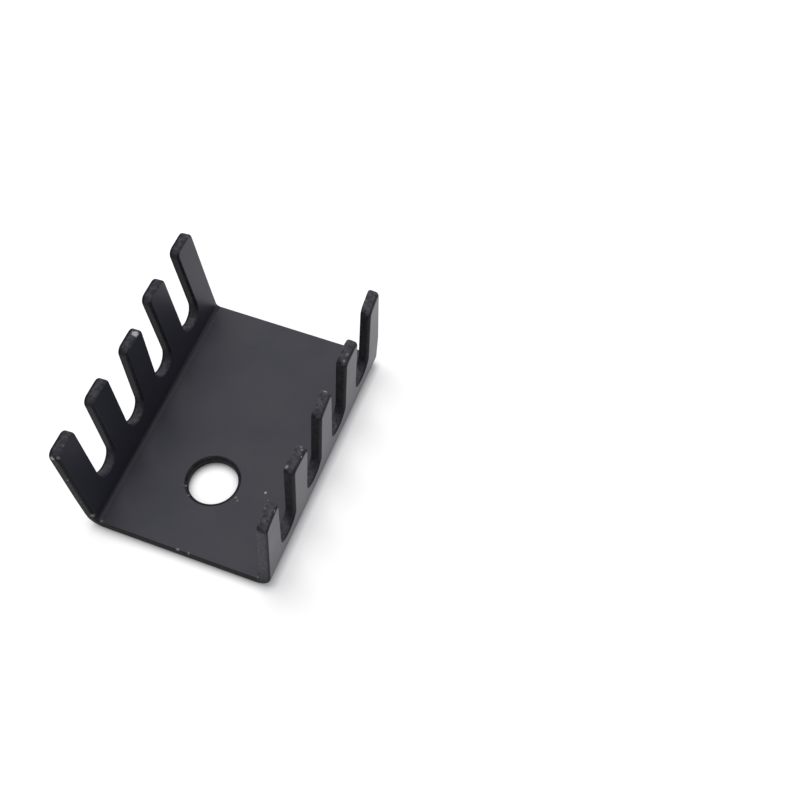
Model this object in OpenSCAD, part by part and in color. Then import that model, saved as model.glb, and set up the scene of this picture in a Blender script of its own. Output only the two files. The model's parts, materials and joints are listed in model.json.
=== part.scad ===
// Transistor heat sink: one aluminium sheet, slotted along both sides and folded up into a finned channel

/* [Sheet] */
// Length along the folds
base_len = 21; // [17:0.5:40]
// Outside width across the two folds
base_w = 15; // [12:0.5:25]
// Height of the fin tips above the underside
sink_h = 10; // [7:0.5:20]
// Thickness of the sheet
sheet_t = 0.8; // [0.5:0.1:1.2]
// Inside radius of the folds
fold_r = 0.4; // [0.3:0.1:1.2]
// Outward lean of both walls from upright, in degrees
wall_lean = 5.4; // [0:0.1:12]

/* [Fins] */
// Number of fins on each wall
fin_count = 5; // [3:1:7]
// Width of the slots between the fins
slot_w = 2.25; // [1.5:0.05:3.2]
// Height of the slots' round floors above the underside
slot_floor_h = 2.7; // [2.3:0.1:5]
// Radius on the two corners of each fin's tip
tip_r = 0.6; // [0.2:0.1:1]
// Inward bend of the left wall's second fin, out of line with its wall, in degrees
second_fin_bend = 3; // [0:0.5:8]
// Inward bend of the left wall's third fin, out of line with its wall, in degrees
third_fin_bend = 5.5; // [0:0.5:8]
// Inside radius of the bend at the root of those two fins
root_bend_r = 1; // [0.5:0.1:3]

/* [Screw hole] */
// Diameter of the hole for the transistor's screw
hole_d = 3.8; // [3:0.1:6]
// Distance from the near end of the sheet to the middle of the hole
hole_from_end = 6.1; // [4:0.1:12]

/* [Hidden] */
$fn = 96;
// How far a cutting shape runs past the faces that it cuts
cut_over = 1;
// The two walls, by the sign of their side
left = -1;
right = 1;
// Radii of the folds at the middle and at the outside of the sheet
fold_mid_r = fold_r + sheet_t / 2;
fold_outer_r = fold_r + sheet_t;
// Angle that each fold turns through, from the flat base to the leaning wall
fold_turn = 90 - wall_lean;
// Distance from the middle to the line where the flat base ends and a fold begins
fold_x = base_w / 2 - fold_outer_r * sin(fold_turn);
// Lengths up a wall from the end of its fold: to the slots' floors, to the roots of the fins and to the tips
floor_len = (slot_floor_h - fold_outer_r + fold_mid_r * cos(fold_turn)) / sin(fold_turn);
root_len = floor_len + slot_w / 2;
wall_len = (sink_h - fold_outer_r + fold_r * cos(fold_turn)) / sin(fold_turn);
fin_len = wall_len - root_len;
// The fins share what the slots leave of the length, with the end fins flush with the ends
fin_w = (base_len - (fin_count - 1) * slot_w) / fin_count;
fin_pitch = fin_w + slot_w;
// A narrow fin limits the radius of its corners, so that some of its tip stays straight between them
tip_flat_min = 0.2;
corner_r = min(tip_r, (fin_w - tip_flat_min) / 2);
// The near end of the sheet, where the screw hole is, with the length centred on the origin
near_y = -base_len / 2;

// Inward bend of a fin, counted from the near end of its wall
function fin_bend(side, index) =
    side == left && index == 1 ? second_fin_bend :
    side == left && index == 2 ? third_fin_bend :
    0;

// What is cut away to round one corner of a fin's tip
module tip_corner(end, length) {
    translate([-cut_over, end * (fin_w / 2 - corner_r), length - corner_r])
        rotate([90, 0, 90])
            linear_extrude(sheet_t + 2 * cut_over)
                mirror([end < 0 ? 1 : 0, 0])
                    difference() {
                        square(corner_r + cut_over);
                        circle(corner_r);
                    }
}

// Straight part of a fin, standing on its root with its inner face at X = 0
module fin_blade(length) {
    difference() {
        translate([0, -fin_w / 2, 0])
            cube([sheet_t, fin_w, length]);
        for (end = [-1, 1])
            tip_corner(end, length);
    }
}

// Short bend at the root of a fin that is out of line with its wall
module fin_root(bend) {
    rotate([90, 0, 0])
        rotate_extrude(angle = bend)
            translate([root_bend_r, -fin_w / 2])
                square([sheet_t, fin_w]);
}

// A fin on its wall, with the length of sheet that its root takes up left out of its blade
module fin(index, bend) {
    root_arc = (root_bend_r + sheet_t / 2) * bend * PI / 180;
    translate([fold_r - root_bend_r, near_y + fin_w / 2 + index * fin_pitch, root_len]) {
        if (bend > 0)
            fin_root(bend);
        rotate([0, -bend, 0])
            translate([root_bend_r, 0, 0])
                fin_blade(fin_len - root_arc);
    }
}

// Strip of wall between the fold and the fins, with the round floors of the slots cut into its upper edge
module slotted_strip() {
    difference() {
        translate([fold_r, near_y, 0])
            cube([sheet_t, base_len, root_len]);
        for (index = [0 : fin_count - 2])
            translate([fold_mid_r, near_y + fin_w + slot_w / 2 + index * fin_pitch, root_len])
                rotate([0, 90, 0])
                    cylinder(d = slot_w, h = sheet_t + 2 * cut_over, center = true);
    }
}

// Bend between the flat base and a wall, turned back from the foot of the wall
module fold() {
    rotate([90, 0, 0])
        rotate_extrude(angle = -fold_turn)
            translate([fold_r, near_y])
                square([sheet_t, base_len]);
}

// One half of the sheet, from the middle of the base out to its wall, which is drawn upright and then leaned
module folded_half(side) {
    mirror([side == left ? 1 : 0, 0, 0]) {
        translate([0, near_y, 0])
            cube([fold_x, base_len, sheet_t]);
        translate([fold_x, 0, fold_outer_r])
            rotate([0, wall_lean, 0]) {
                fold();
                slotted_strip();
                for (index = [0 : fin_count - 1])
                    fin(index, fin_bend(side, index));
            }
    }
}

module heat_sink() {
    color("#3a3a3e")
        difference() {
            union() {
                folded_half(left);
                folded_half(right);
            }
            translate([0, near_y + hole_from_end, -cut_over])
                cylinder(d = hole_d, h = sheet_t + 2 * cut_over);
        }
}

heat_sink();
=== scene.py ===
import json
import math

import bpy
import numpy as np
from mathutils import Matrix, Vector


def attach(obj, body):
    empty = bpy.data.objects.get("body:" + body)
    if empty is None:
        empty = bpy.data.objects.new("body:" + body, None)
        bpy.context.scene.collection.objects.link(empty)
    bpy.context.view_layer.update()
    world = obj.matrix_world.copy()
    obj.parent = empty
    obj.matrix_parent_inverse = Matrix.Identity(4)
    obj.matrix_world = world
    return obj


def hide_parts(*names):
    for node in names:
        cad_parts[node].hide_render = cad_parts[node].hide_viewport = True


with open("model.json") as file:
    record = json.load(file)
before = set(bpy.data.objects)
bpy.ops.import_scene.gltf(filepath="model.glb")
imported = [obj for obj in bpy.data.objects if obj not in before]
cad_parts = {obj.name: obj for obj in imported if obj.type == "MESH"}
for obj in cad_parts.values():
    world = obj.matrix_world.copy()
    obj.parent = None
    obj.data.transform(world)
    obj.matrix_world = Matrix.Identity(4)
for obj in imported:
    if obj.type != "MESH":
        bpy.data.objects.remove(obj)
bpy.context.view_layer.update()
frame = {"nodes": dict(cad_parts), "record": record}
mm = 0.001            # sizes below are in millimetres, and the scene is in metres
scene = bpy.context.scene
print("frame loaded:", ", ".join(frame["nodes"]))


def linearColour(hexText):
    # sRGB hex to the linear colour that shaders take
    srgb = np.array([int(hexText[i:i + 2], 16) for i in (1, 3, 5)]) / 255
    linear = np.where(srgb <= 0.04045, srgb / 12.92, ((srgb + 0.055) / 1.055) ** 2.4)
    return (*linear.tolist(), 1.0)


def addNode(tree, kind, links=None, **settings):
    # One node: settings are its own properties, links fill its inputs with a socket or a plain value
    node = tree.nodes.new(kind)
    for name, value in settings.items():
        setattr(node, name, value)
    for name, value in (links or {}).items():
        if isinstance(value, bpy.types.NodeSocket):
            tree.links.new(value, node.inputs[name])
        else:
            node.inputs[name].default_value = value
    return node


def newMaterial(name):
    material = bpy.data.materials.new(name)
    material.use_nodes = True
    material.node_tree.nodes.clear()
    return material, material.node_tree


def patternScale(size):
    # Texture scale at which one feature of a pattern is about this many millimetres on Object coordinates
    return 1 / (size * mm)


# Heat sink: one punched blank, folded up along both sides

screwHole = next(m for m in frame["record"]["mounts"] if m["name"] == "screw_hole")
heatSink = {
    # The sheet as folded, in millimetres and degrees
    "length": 21.0,
    "width": 15.0,
    "height": 10.0,
    "thickness": screwHole["dims"]["length_mm"],
    "foldRadius": 0.4,
    "wallLean": 5.4,
    # Screw hole, whose end of the sheet is called the near end
    "holeRadius": screwHole["dims"]["r_mm"],
    "holeY": screwHole["pos_m"][1] / mm,
    # Fins and slots
    "finCount": 5,
    "slotWidth": 2.25,
    "slotFloorHeight": 2.7,
    "leftTipRadii": (0.6, 0.6),      # of the near corner of a tip and of the far one
    "rightTipRadii": (0.6, 0.75),
    "rootBendRadius": 1.0,
    # Small bend of each fin out of its wall, inwards where positive, from the near end to the far end
    "leftBends": (1.5, 3.4, 5.9, 0.9, 0.5),
    "rightBends": (0.6, 0.4, 1.1, 0.9, 2.0),
    # Small twist of each fin about its own upright, its far side inwards where positive, in the same order
    "leftTwists": (0.0, 0.0, 0.0, 0.0, 0.0),
    "rightTwists": (4.0, -2.0, 4.0, 0.0, 5.0),
    # Depth of the roundings of the cut edges, for the left wall and the right. The punch went in at the
    # inner face and broke through at the outer one, where the edges of the right wall are rolled over.
    "innerRounding": (0.22, 0.22),
    "outerRounding": (0.10, 0.22),
    # Reach of the roundings along the face, as shares of their depth: at the sides of the fins and at the
    # tips for each wall, at the sheared ends of the base, and round the hole
    "innerShares": ((1.0, 1.0), (0.35, 0.35)),
    "outerShares": ((1.0, 1.0), (1.4, 2.5)),
    "baseEndShare": 0.3,
    "holeShare": 1.6,
    "fractureDepth": 0.02,           # how far the cut falls back towards the outer face
    # Factors that the dye is multiplied by, mostly painted shade and light, with pairs for the left wall
    # and the right
    "baseEndShade": 0.15,            # painted shade on the cuts at the base's ends, growing to 1 at the fins' roots
    "holeShade": 0.7,             # painted shade on the cut of the hole
    "slotReflection": 2.9,             # painted reflection on the floors of the slots, which makes them paler
    "tipLight": (1.75, 2.3),      # painted light on the tips of the fins, paler on the right wall
    "endPaleness": (0.35, 2.8),      # near end of each wall, darker on the left and paler on the right
    "endDepth": 0.6,                 # how far along the sheet that end reaches
    "burrShade": 0.12,            # painted shade in a dark line along the burr, by the outer face
    "burrLine": (0.26, 0.12),        # how far that line reaches into the thickness
    "creaseShade": 0.35,          # painted shade on a crease at the near corner of each tip of the right wall
    "creaseAngle": 60.0,             # how far round that corner the crease lies
    "foldShade": 0.35,            # painted shade inside the folds
    "foldDarkens": (0.1, 0.4),       # stretch past the start of a fold over which that sets in
    "foldFades": (-0.45, 0.05),      # stretch about the end of a fold over which it goes
    "wallShadeStarts": (0.06, 0.36),   # stretch past the start of a fold over which the wall's painted shade colour sets in
    # Share of cut metal from which an edge has the cut finish: punched edges, and the ends of the base
    "punchCutFrom": 0.08,
    "shearCutFrom": 0.45,
    # Length of fin below its tip over which wear grows, how worn the other edges are, and how worn the
    # whole cut is on the near end of the left wall and of the right
    "wearReach": 1.4,
    "wearElsewhere": 0.45,
    "endWear": (0.88, 0.6),
    # Steps of the mesh in each stretch of the sheet
    "baseSteps": 16,
    "foldSteps": 14,
    "stripSteps": 6,
    "bladeSteps": 14,
    "tipSteps": 6,
    "tipFlatSteps": 4,
    "slotSteps": 24,
    "roundingSteps": 5,
    "landSteps": 5,
    "holeBlockSteps": 9,
    "holeRingSteps": 6,
}


def blankLengths(sheet):
    # Lengths across the flat blank, from its middle, along the middle of its thickness
    turn = math.radians(90 - sheet["wallLean"])
    outer = sheet["foldRadius"] + sheet["thickness"]
    middle = sheet["foldRadius"] + sheet["thickness"] / 2
    foldStart = sheet["width"] / 2 - outer * math.sin(turn)
    foldEnd = foldStart + middle * turn
    floorUp = (sheet["slotFloorHeight"] - outer + middle * math.cos(turn)) / math.sin(turn)
    tipUp = (sheet["height"] - outer + sheet["foldRadius"] * math.cos(turn)) / math.sin(turn)
    finWidth = (sheet["length"] - (sheet["finCount"] - 1) * sheet["slotWidth"]) / sheet["finCount"]
    return {
        "turn": turn,
        "middleRadius": middle,
        "foldStart": foldStart,
        "foldEnd": foldEnd,
        "root": foldEnd + floorUp + sheet["slotWidth"] / 2,
        "tip": foldEnd + tipUp,
        "finWidth": finWidth,
        "finPitch": finWidth + sheet["slotWidth"],
        "firstFin": (finWidth - sheet["length"]) / 2,
        "finColumns": 2 * sheet["tipSteps"] + sheet["tipFlatSteps"],
    }


def foldShare(blank, across):
    # How far through the right fold a place on the blank lies: 0 before it, and 1 on the wall
    return np.clip((across - blank["foldStart"]) / (blank["foldEnd"] - blank["foldStart"]), 0, 1)


def halfBlank(sheet, blank, inset, endInset, shares, tipRadii):
    # Half of the flat blank, from its middle to the tips of one wall, with its outline moved in: the sides
    # of the fins and their tips by their shares of the inset, and the ends of the base by baseEndShare of
    # endInset. Rows run across the blank, and columns run along it.
    # Fin: straight sides, and a quarter ellipse at each corner of its tip, where r is that corner's radius:
    # along = finWidth / 2 - r + (r - edge) sin a, and across = tip - r + (r - tipEdge) cos a.
    # Slot: along = centre + r sin b, and across = root - r cos b, with r = slotWidth / 2 + edge.
    edge, tipEdge = (share * inset for share in shares)
    radii = np.array(tipRadii)[:, None]
    a = np.linspace(0, math.pi / 2, sheet["tipSteps"] + 1)
    cornerAlong = blank["finWidth"] / 2 - radii + (radii - edge) * np.sin(a)
    cornerTip = blank["tip"] - radii + (radii - tipEdge) * np.cos(a)
    flatAlong = np.linspace(-cornerAlong[0, 0], cornerAlong[1, 0], sheet["tipFlatSteps"] + 1)[1:-1]
    flatTip = np.full(len(flatAlong), blank["tip"] - tipEdge)
    finAlong = np.concatenate([-cornerAlong[0, ::-1], flatAlong, cornerAlong[1]])
    finTip = np.concatenate([cornerTip[0, ::-1], flatTip, cornerTip[1]])
    b = np.linspace(-math.pi / 2, math.pi / 2, sheet["slotSteps"] + 1)[1:-1]
    slotRadius = sheet["slotWidth"] / 2 + edge
    slotAlong = blank["finPitch"] / 2 + slotRadius * np.sin(b)
    slotFloor = blank["root"] - slotRadius * np.cos(b)

    # A fin and the slot after it repeat along the sheet, which ends with a fin
    centres = blank["firstFin"] + blank["finPitch"] * np.arange(sheet["finCount"])
    columns = sheet["finCount"] * (len(finAlong) + len(slotAlong)) - len(slotAlong)
    along = (centres[:, None] + np.concatenate([finAlong, slotAlong])).ravel()[:columns]
    finRoot = np.full(len(finAlong), blank["root"])
    stripTop = np.tile(np.concatenate([finRoot, slotFloor]), sheet["finCount"])[:columns]
    bladeTop = np.tile(np.concatenate([finTip, slotFloor]), sheet["finCount"])[:columns]

    base = np.linspace(0, blank["foldStart"], sheet["baseSteps"] + 1)
    fold = np.linspace(blank["foldStart"], blank["foldEnd"], sheet["foldSteps"] + 1)[1:]
    strip = np.linspace(0, 1, sheet["stripSteps"] + 1)[1:, None]
    blade = np.linspace(0, 1, sheet["bladeSteps"] + 1)[1:, None]
    across = np.vstack([
        np.repeat(np.concatenate([base, fold])[:, None], columns, axis=1),
        blank["foldEnd"] + strip * (stripTop - blank["foldEnd"]),
        stripTop + blade * (bladeTop - stripTop),
    ])
    along = np.broadcast_to(along, across.shape).copy()
    kept = (edge - sheet["baseEndShare"] * endInset) * (1 - foldShare(blank, across[:, 0]))
    along[:, 0] -= kept
    along[:, -1] += kept
    return across, along


def blankGrid(sheet, blank, shares, insets):
    # The whole flat blank with its outline moved in, its rows going from the tips of the left wall to those
    # of the right
    tipRadii = sheet["leftTipRadii"], sheet["rightTipRadii"]
    left, right = (
        halfBlank(sheet, blank, inset, insets[0], wallShares, wallRadii)
        for inset, wallShares, wallRadii in zip(insets, shares, tipRadii))
    across = np.vstack([-left[0][:0:-1], right[0]])
    along = np.vstack([left[1][:0:-1], right[1]])
    return across, along


def outlineLoop(sheet, blank, rows, columns):
    # Grid places round the outline: the near end, the right wall fin by fin, the far end, the left wall.
    # The floor of a slot is the row of the fins' roots.
    top, root = rows - 1, rows - 1 - sheet["bladeSteps"]
    slotEnd = blank["finColumns"] + sheet["slotSteps"]
    blade = np.arange(sheet["bladeSteps"])
    finRows = np.concatenate([
        np.full(blank["finColumns"], top), top - blade, np.full(sheet["slotSteps"], root), root + blade])
    finPlaces = np.concatenate([
        np.arange(blank["finColumns"]), np.full(len(blade), blank["finColumns"]),
        blank["finColumns"] + np.arange(sheet["slotSteps"]), np.full(len(blade), slotEnd)])
    wall = sheet["finCount"] * len(finRows) - 2 * sheet["bladeSteps"] - sheet["slotSteps"]
    wallRows = np.tile(finRows, sheet["finCount"])[:wall]
    wallColumns = (finPlaces + slotEnd * np.arange(sheet["finCount"])[:, None]).ravel()[:wall]
    end = np.arange(top)
    loopRows = np.concatenate([end, wallRows, top - end, top - wallRows])
    loopColumns = np.concatenate([0 * end, wallColumns, columns - 1 + 0 * end, columns - 1 - wallColumns])
    return loopRows, loopColumns


def blockLoop(rowFrom, rowTo, columnFrom, columnTo):
    # Grid places round a block of the grid, anticlockwise
    down, along = np.arange(rowTo - rowFrom), np.arange(columnTo - columnFrom)
    loopRows = np.concatenate([rowFrom + down, rowTo + 0 * along, rowTo - down, rowFrom + 0 * along])
    loopColumns = np.concatenate([
        columnFrom + 0 * down, columnFrom + along, columnTo + 0 * down, columnTo - along])
    return loopRows, loopColumns


def edgeProfile(sheet, onRight):
    # Section of a cut edge at each place of a path that lies on the right wall by the share onRight, from
    # the inner face of the sheet to the outer one: depth in from the outline, height above the middle of
    # the sheet, tilt of its normal, and shares of cut metal, exposed corner and burr.
    # A rounding of radius r is depth r (1 - cos a), height r sin a. The land between the two is straight.
    half = sheet["thickness"] / 2
    inner, outer, burrLine = (
        left + (right - left) * onRight
        for left, right in (sheet["innerRounding"], sheet["outerRounding"], sheet["burrLine"]))
    a = np.linspace(math.pi / 2, 0, sheet["roundingSteps"] + 1)[:, None]
    t = np.linspace(0, 1, sheet["landSteps"] + 2)[1:-1, None]
    land = half - inner + t * (outer + inner - 2 * half)
    flat = 0 * land
    depth = np.vstack([inner * (1 - np.cos(a)), flat, outer * (1 - np.cos(a[::-1]))])
    height = np.vstack([half - inner * (1 - np.sin(a)), land, outer * (1 - np.sin(a[::-1])) - half])
    tilt = np.vstack([a + 0 * inner, flat, -a[::-1] + 0 * outer])
    cut = np.cos(tilt) ** 2
    corner = np.sin(2 * tilt) ** 2
    broken = np.clip((half - inner - height) / sheet["thickness"], 0, 1)  # grows towards the outer face
    burr = np.clip(2 * (burrLine - half - height) / burrLine, 0, 1)  # whole on the outer half of its line
    return depth + sheet["fractureDepth"] * broken * cut, height, tilt, cut, corner, burr


def foldPoints(sheet, blank, across, along, up):
    # Folds points of the blank: the sheet's direction turns through the fold, then through a fin's bend.
    # An arc of radius r from angle a to b carries a point by r (sin b - sin a, cos a - cos b).
    # A twist t lifts a point off the fin's face by tan t times its place along the fin, growing from none
    # at the root, and the slope of that is returned for the normals.
    side = np.where(across < 0, -1.0, 1.0)
    out = np.abs(across)
    fin = np.rint((along - blank["firstFin"]) / blank["finPitch"])
    fin = np.clip(fin, 0, sheet["finCount"] - 1).astype(int)
    wallFin = (side > 0).astype(int), fin
    bend = np.radians([sheet["leftBends"], sheet["rightBends"]])[wallFin]
    twist = np.radians([sheet["leftTwists"], sheet["rightTwists"]])[wallFin]
    place = along - blank["firstFin"] - fin * blank["finPitch"]
    slope = np.tan(twist) * np.clip((out - blank["root"]) / (blank["tip"] - blank["root"]), 0, 1)
    up = up + slope * place
    foldRadius = blank["middleRadius"]
    bendRadius = sheet["rootBendRadius"] + sheet["thickness"] / 2
    turn = np.clip((out - blank["foldStart"]) / foldRadius, 0, blank["turn"])
    wall = np.clip(out, blank["foldEnd"], blank["root"]) - blank["foldEnd"]
    pastRoot = np.maximum(out - blank["root"], 0)
    angle = turn + np.sign(bend) * np.minimum(pastRoot / bendRadius, np.abs(bend))
    blade = np.maximum(pastRoot - bendRadius * np.abs(bend), 0)
    arc = np.sign(bend) * bendRadius
    x = (np.minimum(out, blank["foldStart"]) + foldRadius * np.sin(turn) + wall * math.cos(blank["turn"])
         + arc * (np.sin(angle) - np.sin(turn)) + blade * np.cos(angle) - up * np.sin(angle))
    z = (sheet["thickness"] / 2 + foldRadius * (1 - np.cos(turn)) + wall * math.sin(blank["turn"])
         + arc * (np.cos(turn) - np.cos(angle)) + blade * np.sin(angle) + up * np.cos(angle))
    return side * x, z, side, angle, slope


def fading(value, share):
    # A factor that is 1 where the share is none, and the value where it is whole
    return 1 + (value - 1) * share


def byBaseEnds(sheet, along):
    # Whether a place on the base lies at one of its two sheared ends, and not at the hole
    return np.abs(along) > sheet["length"] / 2 - sheet["thickness"]


def sheetLooks(sheet, blank, across, along, up, cut, corner, burr, facing, turned):
    # Values of the finish at each vertex: how worn it is, the paleness that its dye is multiplied by, and
    # the share of the wall's colour. Wear follows the exposed corners and grows towards a tip. Paleness is
    # the product of one factor for each painted shade or painted light on the place, and of a darker or
    # paler near end of each wall.
    out, left = np.abs(across), across < 0
    tipShare = np.clip((out - blank["tip"]) / sheet["wearReach"] + 1, 0, 1)
    facesEnd = facing < 1 - facing  # more along the sheet than up its wall
    nearEnd = facesEnd & (along < sheet["endDepth"] - sheet["length"] / 2) & (out > blank["foldStart"])
    worn = corner * (sheet["wearElsewhere"] + (1 - sheet["wearElsewhere"]) * tipShare)
    worn = np.maximum(worn, np.where(left, *sheet["endWear"]) * cut * nearEnd)

    cornerStep = 90 / sheet["tipSteps"]  # degrees turned in one step of the mesh round a tip's corner
    # Painted shade on a crease at the near corner of each tip of the right wall
    crease = np.clip(1 - np.abs(turned - sheet["creaseAngle"]) / cornerStep, 0, 1) * (tipShare > 0) * ~left
    # Edges facing up their wall: painted reflection on the floors of the slots, painted light on the tips
    # of the fins
    upPaleness = np.where(out > blank["foldEnd"], sheet["slotReflection"], 1)
    upPaleness = upPaleness + (np.where(left, *sheet["tipLight"]) - upPaleness) * tipShare
    # A line of painted shade along the burr, by the outer face
    burrShadeFactor = fading(sheet["burrShade"], burr)
    # The cuts at the base's ends get painted shade, and the near ends of the walls are darker on the left
    # and paler on the right
    outlinePaleness = (
        np.interp(out, [blank["foldStart"], blank["root"]], [sheet["baseEndShade"], 1])
        * fading(upPaleness, facing) * burrShadeFactor * fading(sheet["creaseShade"], crease)
        * np.where(nearEnd, np.where(left, *sheet["endPaleness"]), 1))
    # The cut of the hole gets painted shade
    inHole = (out < blank["foldStart"]) & ~byBaseEnds(sheet, along)
    cutPaleness = np.where(inHole, sheet["holeShade"] * burrShadeFactor, outlinePaleness)

    # Painted shade inside the folds, on the inner face
    pastStart, pastEnd = out - blank["foldStart"], out - blank["foldEnd"]
    inFold = np.interp(pastStart, sheet["foldDarkens"], [0, 1])
    inFold = inFold * np.interp(pastEnd, sheet["foldFades"], [1, 0]) * (up > 0)
    foldShadeFactor = fading(sheet["foldShade"], inFold)
    return {
        "wornCorner": worn,
        "paintedShadeAndLight": np.where(cut > 0, cutPaleness, foldShadeFactor),
        "wallShare": np.interp(pastStart, sheet["wallShadeStarts"], [0, 1]),
    }


def quads(ids):
    # Faces between the rows and columns of a grid of vertex numbers
    return np.stack([ids[:-1, :-1], ids[1:, :-1], ids[1:, 1:], ids[:-1, 1:]], axis=-1)


def closed(ids):
    # The grid with its first column again at its end, so that its faces go all the way round
    return np.concatenate([ids, ids[:, :1]], axis=1)


def buildHeatSink(sheet):
    # The two faces of the sheet on one grid, a ring of faces round the hole in each, and the section of the
    # cut edge carried round the outline and the hole, all worked out on the flat blank and then folded
    blank = blankLengths(sheet)
    across0, along0 = blankGrid(sheet, blank, sheet["innerShares"], (0.0, 0.0))
    rows, columns = across0.shape
    outline = outlineLoop(sheet, blank, rows, columns)

    # The block of the grid that the hole's own ring of faces takes the place of
    rowFrom, rowTo = rows // 2 - sheet["holeBlockSteps"], rows // 2 + sheet["holeBlockSteps"]
    blockReach = blank["foldStart"] * sheet["holeBlockSteps"] / sheet["baseSteps"]
    blockEnds = [sheet["holeY"] - blockReach, sheet["holeY"] + blockReach]
    columnFrom, columnTo = np.searchsorted(along0[0], blockEnds)
    block = blockLoop(rowFrom, rowTo, columnFrom, columnTo)
    around = np.arctan2(along0[block] - sheet["holeY"], across0[block])
    holeNormal = np.stack([np.cos(around), np.sin(around)])
    holeCentre = np.array([[0.0], [sheet["holeY"]]])

    solid = np.ones((rows - 1, columns - 1), bool)
    onFin = np.tile(np.repeat([True, False], [blank["finColumns"], sheet["slotSteps"]]), sheet["finCount"])
    inSlot = ~onFin[:columns - 1]
    solid[:sheet["bladeSteps"], inSlot] = False
    solid[-sheet["bladeSteps"]:, inSlot] = False
    solid[rowFrom:rowTo, columnFrom:columnTo] = False

    # Arrays of across, along, up, the three parts of the normal, cut, corner, burr, how far an edge faces
    # up its wall, and the angle it has turned from there towards the near end
    vertices = []
    faces = []

    def addVertices(*parts):
        # Adds vertices given by whole arrays and returns their numbers
        parts = np.broadcast_arrays(*parts)
        start = sum(len(v) for v in vertices)
        vertices.append(np.stack([part.ravel() for part in parts], axis=-1))
        return start + np.arange(parts[0].size).reshape(parts[0].shape)

    # The two faces of the sheet, inner and then outer
    outlineIds, holeIds = [], []
    for way, shares, insets in (
            (1, sheet["innerShares"], sheet["innerRounding"]),
            (-1, sheet["outerShares"], sheet["outerRounding"])):
        across, along = blankGrid(sheet, blank, shares, insets)
        # Up, a normal square to the sheet, and nothing of a cut edge
        onFace = way * sheet["thickness"] / 2, 0, 0, way, 0, 0, 0, 0, 0
        faceIds = addVertices(across, along, *onFace)
        faces.append(quads(faceIds)[solid][:, ::way])
        blockEdge = np.stack([across[block], along[block]])
        rimRadius = sheet["holeRadius"] + sheet["holeShare"] * insets[0]
        toHole = rimRadius * holeNormal + holeCentre - blockEdge
        ringShare = np.linspace(0, 1, sheet["holeRingSteps"] + 1)[1:, None]
        ring = blockEdge[:, None] + ringShare * toHole[:, None]
        ringIds = np.vstack([faceIds[block], addVertices(*ring, *onFace)])
        faces.append(quads(closed(ringIds).T).reshape(-1, 4)[:, ::way])
        outlineIds.append(faceIds[outline])
        holeIds.append(ringIds[-1])

    # The cut edges. A step is how far the path moves when the outline moves in by one millimetre, for the
    # inner face and the outer one: the normal of the path times the share of the rounding there.
    path = np.stack([across0[outline], along0[outline]])
    outlineSteps = [
        np.stack([part[outline] for part in blankGrid(sheet, blank, shares, (1.0, 1.0))]) - path
        for shares in (sheet["innerShares"], sheet["outerShares"])]
    holePath = sheet["holeRadius"] * holeNormal + holeCentre
    holeSteps = [sheet["holeShare"] * holeNormal] * 2
    for way, line, steps, onRight, ids in (
            (1, path, outlineSteps, foldShare(blank, path[0]), outlineIds),
            (-1, holePath, holeSteps, 0 * around, holeIds)):
        depth, height, tilt, cut, corner, burr = (part[1:-1] for part in edgeProfile(sheet, onRight))
        into = np.where(height > 0, steps[0][:, None], steps[1][:, None])
        share = np.hypot(*into)
        inward = into / share
        bandIds = addVertices(
            line[0] + depth * into[0], line[1] + depth * into[1], height,
            -inward[0] * np.cos(tilt), -inward[1] * np.cos(tilt), share * np.sin(tilt),
            cut, corner, burr, inward[0] ** 2, np.degrees(np.arctan2(inward[1], np.abs(inward[0]))))
        bandIds = np.vstack([ids[0], bandIds, ids[1]])
        faces.append(quads(closed(bandIds)).reshape(-1, 4)[:, ::way])

    used, faces = np.unique(np.vstack(faces), return_inverse=True)
    faces = faces.reshape(-1, 4)
    (across, along, up, normalAcross, normalAlong, normalUp,
     cut, corner, burr, facing, turned) = np.vstack(vertices)[used].T
    x, z, side, angle, slope = foldPoints(sheet, blank, across, along, up)
    normalOut = normalAcross * side
    normals = np.stack([
        side * (normalOut * np.cos(angle) - normalUp * np.sin(angle)),
        normalAlong - slope * normalUp,
        normalOut * np.sin(angle) + normalUp * np.cos(angle)], axis=-1)
    normals /= np.linalg.norm(normals, axis=-1, keepdims=True)

    mesh = bpy.data.meshes.new("folded_sheet")
    mesh.from_pydata(np.stack([x, along, z], axis=-1) * mm, [], faces)
    mesh.polygons.foreach_set("use_smooth", np.ones(len(faces), bool))
    mesh.normals_split_custom_set_from_vertices(normals)
    sheared = (np.abs(across) < blank["foldEnd"]) & byBaseEnds(sheet, along)
    cutFrom = np.where(sheared[faces[:, 0]], sheet["shearCutFrom"], sheet["punchCutFrom"])
    isCut = cut[faces].mean(axis=1) > cutFrom
    mesh.polygons.foreach_set("material_index", isCut.astype(np.int32))
    looks = sheetLooks(sheet, blank, across, along, up, cut, corner, burr, facing, turned)
    for name, values in looks.items():
        mesh.attributes.new(name, "FLOAT", "POINT").data.foreach_set("value", values.astype(np.float32))
    piece = bpy.data.objects.new("folded_sheet", mesh)
    scene.collection.objects.link(piece)
    print("heat sink folded:", len(mesh.vertices), "vertices,", len(mesh.polygons), "faces")
    return piece


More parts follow.
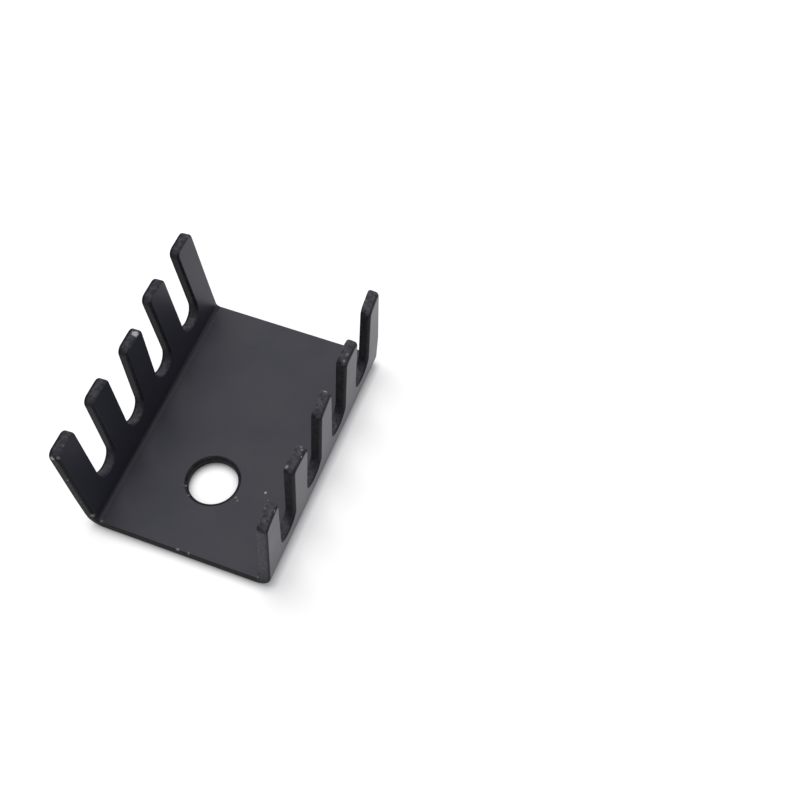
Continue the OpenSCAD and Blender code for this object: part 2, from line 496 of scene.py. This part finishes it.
anodised = {
    "name": "black_anodised_aluminium",
    "dye": "#3F3E46",
    "dyePale": "#454449",
    # Darker, bluer colour of the walls: painted shade
    "wallShadeColour": "#393944",
    "gloss": 0.28,
    "roughness": 0.38,
    "cloudRoughness": 0.05,
    "cloudSize": 3.5,
    "grainSize": 0.16,
    "grainHeight": 0.0012,
}
cutEdge = {
    "name": "black_anodised_cut_edge",
    "dye": "#222226",
    "dyePale": "#3A3A3D",
    "gloss": 0.09,
    "roughness": 0.58,
    "cloudRoughness": 0.12,
    "cloudSize": 0.30,
    "grainSize": 0.12,
    "grainHeight": 0.006,
}
wear = {
    "bareMetal": "#B9B9B6",
    "bareRoughness": 0.35,
    "chipSize": 0.3,
    "chipFrom": 0.56,
    "chipTo": 0.66,
    # Single knocks: place and radius in millimetres, and how bare the metal is there
    "knocks": (
        ((4.17, -3.92, 0.80), 0.13, 0.8),
        ((4.62, -4.48, 0.80), 0.08, 0.25),
        ((-6.84, -10.42, 1.49), 0.26, 0.35),
        ((-6.28, -10.35, 0.75), 0.14, 0.30),
        ((6.50, -10.35, 0.85), 0.13, 0.30),
        ((-7.87, -10.46, 9.56), 0.18, 0.6),
        ((-7.44, -10.32, 9.67), 0.14, 0.35),
        ((-7.10, 0.62, 9.96), 0.30, 0.8),
        ((7.61, -5.53, 9.85), 0.16, 0.5),
        ((7.87, -3.68, 9.83), 0.16, 0.4),
        ((8.02, -3.95, 9.93), 0.12, 0.3),
        ((7.74, -9.98, 9.75), 0.12, 0.3),
        ((7.66, 1.02, 9.76), 0.17, 0.7),
        ((7.95, 3.74, 9.87), 0.13, 0.3),
        ((7.98, 4.30, 9.95), 0.15, 0.2),
        ((-1.72, -5.49, 0.75), 0.11, 0.30),
        ((-1.18, -6.15, 0.79), 0.11, 0.25),
        ((2.26, -5.08, 0.80), 0.11, 0.30),
        ((2.48, -5.27, 0.80), 0.10, 0.25),
        ((0.04, -10.44, 0.74), 0.13, 0.35),
        ((0.93, -10.44, 0.74), 0.13, 0.35),
    ),
}


def blackAnodised(finish, wear):
    # Black anodised aluminium sheet, etched before dyeing. The clear oxide film over the dye reflects like
    # a dielectric, so a face is dim seen square on and pale at a glancing angle. A punched edge is torn and
    # pitted, so it takes the dye in blotches and hardly shines. Knocked corners show bare metal. The dye
    # also carries painted shade and light from the mesh, and a darker, bluer painted shade on the walls.
    material, tree = newMaterial(finish["name"])
    place = addNode(tree, "ShaderNodeTexCoord").outputs["Object"]
    wornCorner = addNode(tree, "ShaderNodeAttribute", attribute_name="wornCorner").outputs["Fac"]
    # Painted shade and light of each vertex, which the dye is multiplied by
    paleness = addNode(tree, "ShaderNodeAttribute", attribute_name="paintedShadeAndLight").outputs["Fac"]
    clouds = addNode(tree, "ShaderNodeTexNoise", {
        "Vector": place, "Scale": patternScale(finish["cloudSize"]), "Detail": 3.0}).outputs["Fac"]
    grain = addNode(tree, "ShaderNodeTexNoise", {
        "Vector": place, "Scale": patternScale(finish["grainSize"]), "Detail": 2.0}).outputs["Fac"]
    chips = addNode(tree, "ShaderNodeTexNoise", {
        "Vector": place, "Scale": patternScale(wear["chipSize"]), "Detail": 2.0}).outputs["Fac"]

    # Bare metal: chips on the worn corners, and the single knocks. A noise is about a half, so the distance
    # times the noise gives a knock a ragged rim, whole within half of its radius and gone at the radius.
    chipped = addNode(tree, "ShaderNodeMath", {0: chips, 1: wornCorner}, operation="MULTIPLY").outputs[0]
    bare = addNode(tree, "ShaderNodeMapRange", {
        "Value": chipped, "From Min": wear["chipFrom"], "From Max": wear["chipTo"]}).outputs["Result"]
    for centre, radius, bareness in wear["knocks"]:
        away = addNode(tree, "ShaderNodeVectorMath", {
            0: place, 1: [c * mm for c in centre]}, operation="DISTANCE").outputs["Value"]
        ragged = addNode(tree, "ShaderNodeMath", {0: away, 1: chips}, operation="MULTIPLY").outputs[0]
        knocked = addNode(tree, "ShaderNodeMapRange", {
            "Value": ragged, "From Min": radius * mm / 2, "From Max": radius * mm / 4,
            "To Max": bareness}).outputs["Result"]
        bare = addNode(tree, "ShaderNodeMath", {0: bare, 1: knocked}, operation="MAXIMUM").outputs[0]

    # Dye in clouds, with a darker, bluer colour on the walls where the finish has one: painted shade
    cloudLow, cloudHigh = 0.32, 0.68  # nearly all of a noise lies between these
    cloudy = addNode(tree, "ShaderNodeMapRange", {
        "Value": clouds, "From Min": cloudLow, "From Max": cloudHigh}).outputs["Result"]
    dye = addNode(tree, "ShaderNodeMix", {
        "Factor": cloudy, 6: linearColour(finish["dye"]), 7: linearColour(finish["dyePale"])},
        data_type="RGBA").outputs[2]
    if "wallShadeColour" in finish:
        wallShare = addNode(tree, "ShaderNodeAttribute", attribute_name="wallShare").outputs["Fac"]
        dye = addNode(tree, "ShaderNodeMix", {
            "Factor": wallShare, 6: dye, 7: linearColour(finish["wallShadeColour"])}, data_type="RGBA").outputs[2]
    # The dye times the painted shade and light of each vertex
    dye = addNode(tree, "ShaderNodeVectorMath", {
        0: dye, "Scale": paleness}, operation="SCALE").outputs["Vector"]
    colour = addNode(tree, "ShaderNodeMix", {
        "Factor": bare, 6: dye, 7: linearColour(wear["bareMetal"])}, data_type="RGBA").outputs[2]
    matt = addNode(tree, "ShaderNodeMapRange", {
        "Value": clouds, "To Min": finish["roughness"] - finish["cloudRoughness"],
        "To Max": finish["roughness"] + finish["cloudRoughness"]}).outputs["Result"]
    roughness = addNode(tree, "ShaderNodeMix", {
        "Factor": bare, 2: matt, 3: wear["bareRoughness"]}).outputs[0]
    bump = addNode(tree, "ShaderNodeBump", {
        "Height": grain, "Strength": 1.0, "Distance": finish["grainHeight"] * mm}).outputs["Normal"]
    shader = addNode(tree, "ShaderNodeBsdfPrincipled", {
        "Base Color": colour, "Metallic": bare, "Roughness": roughness,
        "Specular IOR Level": finish["gloss"], "Normal": bump})
    addNode(tree, "ShaderNodeOutputMaterial", {"Surface": shader.outputs["BSDF"]})
    return material


sink = buildHeatSink(heatSink)
for finish in (anodised, cutEdge):
    sink.data.materials.append(blackAnodised(finish, wear))
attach(sink, "root")
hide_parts("heat_sink")
print("heat sink finished in", ", ".join(m.name for m in sink.data.materials))


# Floor, light and camera

studio = {
    "floorColour": "#E7E7E7",
    "floorSize": 1200.0,
    "floorDrop": 0.20,               # how far the floor lies below the underside
    # Light added where the camera, or a reflection, looks at the floor, to bring it to white: near the
    # object, at the floor's edges, which the lamp hardly reaches, and the distance from which it grows
    "floorLift": 0.49,
    "farLift": 1.0,
    "farFrom": 120.0,
    # How far from a touching edge that light fades, how steeply, and how many rays measure it
    "contactReach": 0.9,
    "contactDepth": 1.3,
    "contactSamples": 16,
    "skyLight": 0.19,                # light from all round on the object
    "skyColour": "#F6F8FF",
    "lampDirection": (-0.16, 0.20, 0.97),
    "lampDistance": 600.0,
    "lampSize": 450.0,
    "lampPower": 2.68,
}
camera = {
    "lens": 56.01,                   # on Blender's 36 mm sensor
    "target": (10.50, 7.66, 0.0),    # the point of the floor at the middle of the picture
    "distance": 98.43,
    "azimuth": 23.04,
    "elevation": 58.52,
    "roll": -2.205,
}


def seenDirectly(tree):
    # 1 for rays from the camera, from a reflection or through glass, and 0 for light that falls on things
    path = addNode(tree, "ShaderNodeLightPath").outputs
    mirrored = addNode(tree, "ShaderNodeMath", {
        0: path["Is Camera Ray"], 1: path["Is Glossy Ray"]}, operation="MAXIMUM").outputs[0]
    return addNode(tree, "ShaderNodeMath", {
        0: mirrored, 1: path["Is Transmission Ray"]}, operation="MAXIMUM").outputs[0]


def whitePaper(studio):
    # Matt white paper, which the camera sees as white, apart from the soft shadow of what lies on it
    material, tree = newMaterial("white_paper")
    openness = addNode(tree, "ShaderNodeAmbientOcclusion", {
        "Distance": studio["contactReach"] * mm}, samples=studio["contactSamples"]).outputs["AO"]
    place = addNode(tree, "ShaderNodeTexCoord").outputs["Object"]
    away = addNode(tree, "ShaderNodeVectorMath", {0: place}, operation="LENGTH").outputs["Value"]
    evened = addNode(tree, "ShaderNodeMapRange", {
        "Value": away, "From Min": studio["farFrom"] * mm, "From Max": studio["floorSize"] / 2 * mm,
        "To Min": studio["floorLift"], "To Max": studio["farLift"]}).outputs["Result"]
    lifted = addNode(tree, "ShaderNodeMath", {
        0: seenDirectly(tree), 1: evened}, operation="MULTIPLY").outputs[0]
    fade = addNode(tree, "ShaderNodeMath", {
        0: openness, 1: studio["contactDepth"]}, operation="POWER").outputs[0]
    lift = addNode(tree, "ShaderNodeMath", {0: lifted, 1: fade}, operation="MULTIPLY").outputs[0]
    paper = addNode(tree, "ShaderNodeBsdfDiffuse", {
        "Color": linearColour(studio["floorColour"])}).outputs["BSDF"]
    glow = addNode(tree, "ShaderNodeEmission", {"Strength": lift}).outputs["Emission"]
    both = addNode(tree, "ShaderNodeAddShader", {0: paper, 1: glow}).outputs["Shader"]
    addNode(tree, "ShaderNodeOutputMaterial", {"Surface": both})
    return material


def buildStudio(studio):
    # A square floor of paper, white surroundings that light the object softly, and one large lamp above it
    half = studio["floorSize"] / 2
    corners = np.array([(-half, -half), (half, -half), (half, half), (-half, half)])
    floorPoints = np.column_stack([corners, np.full(len(corners), -studio["floorDrop"])]) * mm
    mesh = bpy.data.meshes.new("floor")
    mesh.from_pydata(floorPoints, [], [(0, 1, 2, 3)])
    mesh.materials.append(whitePaper(studio))
    floor = bpy.data.objects.new("floor", mesh)
    scene.collection.objects.link(floor)

    world = bpy.data.worlds.new("white_studio")
    world.use_nodes = True
    tree = world.node_tree
    tree.nodes.clear()
    strength = addNode(tree, "ShaderNodeMapRange", {
        "Value": seenDirectly(tree), "To Min": studio["skyLight"], "To Max": 1.0}).outputs["Result"]
    sky = addNode(tree, "ShaderNodeBackground", {
        "Color": linearColour(studio["skyColour"]), "Strength": strength}).outputs["Background"]
    addNode(tree, "ShaderNodeOutputWorld", {"Surface": sky})
    scene.world = world

    lamp = bpy.data.lights.new("softbox", "AREA")
    lamp.shape = "SQUARE"
    lamp.size = studio["lampSize"] * mm
    lamp.energy = studio["lampPower"]
    softbox = bpy.data.objects.new("softbox", lamp)
    direction = Vector(studio["lampDirection"]).normalized()
    softbox.location = direction * studio["lampDistance"] * mm
    softbox.rotation_euler = direction.to_track_quat("Z", "Y").to_euler()
    softbox.visible_glossy = False  # a smooth sheet shows the white surroundings, with no hot spot
    scene.collection.objects.link(softbox)
    scene.view_settings.view_transform = "Standard"
    print("studio built: floor, white surroundings, softbox")


def placeCamera(camera):
    # The camera looks at the target from this azimuth and elevation, then rolls about its line of sight
    azimuth, elevation = math.radians(camera["azimuth"]), math.radians(camera["elevation"])
    level = math.cos(elevation)
    back = Vector((level * math.sin(azimuth), -level * math.cos(azimuth), math.sin(elevation)))
    right = Vector((math.cos(azimuth), math.sin(azimuth), 0))
    facing = Matrix((right, back.cross(right), back)).transposed()
    rolled = facing @ Matrix.Rotation(math.radians(camera["roll"]), 3, "Z")
    place = (Vector(camera["target"]) + camera["distance"] * back) * mm
    data = bpy.data.cameras.new("camera")
    data.lens = camera["lens"]
    data.clip_start = mm
    view = bpy.data.objects.new("camera", data)
    view.matrix_world = Matrix.Translation(place) @ rolled.to_4x4()
    scene.collection.objects.link(view)
    scene.camera = view
    print("camera placed", round(camera["distance"]), "mm from its target")


buildStudio(studio)
placeCamera(camera)
